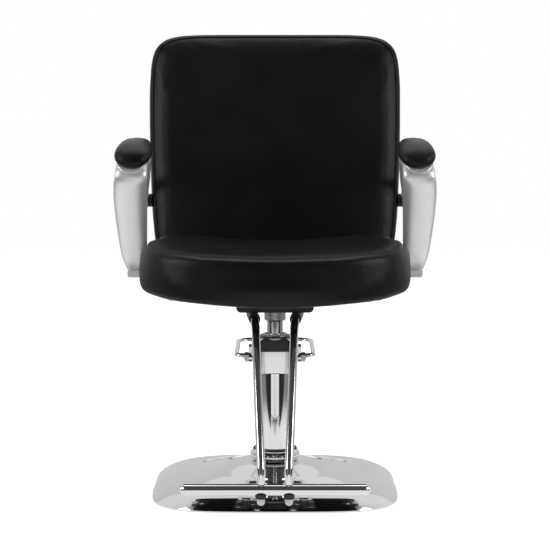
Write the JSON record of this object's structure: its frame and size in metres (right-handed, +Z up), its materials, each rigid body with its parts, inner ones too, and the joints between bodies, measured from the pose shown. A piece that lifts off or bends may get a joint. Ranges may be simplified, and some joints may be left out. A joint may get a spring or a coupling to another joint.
{
  "type": "hairdressing chair",
  "caption": "Hairdressing chair with a padded seat and back, cast silver arms with black pads, a bar footrest and a foot-pumped hydraulic column on a chromed square base.",
  "frame": {"origin": "on the column's axis at the floor", "axes": "+Z up, the seat faces -Y, the sitter's right-hand arm is at -X"},
  "size_m": [0.6206, 0.7001, 0.9161],
  "materials": {
    "chrome": "polished",
    "zinc_steel": "satin",
    "black_steel": "satin powder coat",
    "base_iron": "satin enamel",
    "black_rubber": "matte",
    "cast_silver": "satin silver",
    "pad_black": "soft, fine grain",
    "black_vinyl": "soft sheen, fine grain",
    "shell_black": "satin",
    "black_board": "black lining cloth over plywood",
    "plywood": "raw"
  },
  "bodies": {
    "base": {"base_plate": "base_iron", "base_cover": "chrome", "column_flange": "base_iron", "flange_bolts": "zinc_steel", "column_tube": "chrome", "column_collar": "chrome", "collar_gasket": "black_rubber", "inner_cylinder": "zinc_steel", "pump_head": "chrome", "head_disc": "black_steel", "packing_nut": "zinc_steel", "wiper_seal": "black_rubber", "pump_barrel": "zinc_steel", "pivot_pins": "zinc_steel", "pivot_nuts": "zinc_steel", "plunger_spring": "zinc_steel"},
    "piston": {"piston_rod": "chrome", "piston_ring": "black_rubber"},
    "pedal": {"pedal_bail": "chrome", "pedal_yoke": "chrome"},
    "plunger": {"pump_plunger": "zinc_steel"},
    "seat": {"seat_socket": "zinc_steel", "seat_plate": "black_steel", "plate_bolts": "zinc_steel", "seat_board": "black_board", "seat_cushion": "black_vinyl", "footrest_sockets": "black_steel", "footrest_arm_left": "chrome", "footrest_arm_right": "chrome", "footrest_crossbar": "chrome", "crossbar_plugs": "chrome", "footrest_studs": "zinc_steel", "tapered_washers": "black_rubber", "acorn_nuts": "zinc_steel", "arm_left": "cast_silver", "arm_right": "cast_silver", "arm_pad_left": "pad_black", "arm_pad_right": "pad_black", "pad_tray_left": "cast_silver", "pad_tray_right": "cast_silver", "arm_feet": "cast_silver", "arm_brackets": "black_steel", "arm_bracket_bolts": "zinc_steel", "back_spacers": "shell_black", "back_board": "plywood", "back_cushion": "black_vinyl", "back_shell": "shell_black", "back_brackets": "black_steel", "back_bracket_bolts": "zinc_steel"}
  },
  "joints": [
    {"name": "lift", "type": "slide", "parent": "base", "child": "piston", "axis": [0, 0, 1], "range_m": [0, 0.15]},
    {"name": "swivel", "type": "hinge", "parent": "piston", "child": "seat", "pos_m": [0, 0, 0.352], "axis": [0, 0, 1], "continuous": true},
    {"name": "pedal_press", "type": "hinge", "parent": "base", "child": "pedal", "pos_m": [0, 0, 0.26], "axis": [-1, 0, 0], "range_deg": [0, 11], "stiffness_Nm_per_rad": 8, "springref_deg": -17.19},
    {"name": "plunger_stroke", "type": "slide", "parent": "base", "child": "plunger", "axis": [0, 0, -1], "range_m": [0, 0.012], "deforming": ["plunger_spring"]}
  ],
  "couplings": [
    {"joint": "plunger_stroke", "follows": "pedal_press", "m_per_rad": 0.0625}
  ]
}
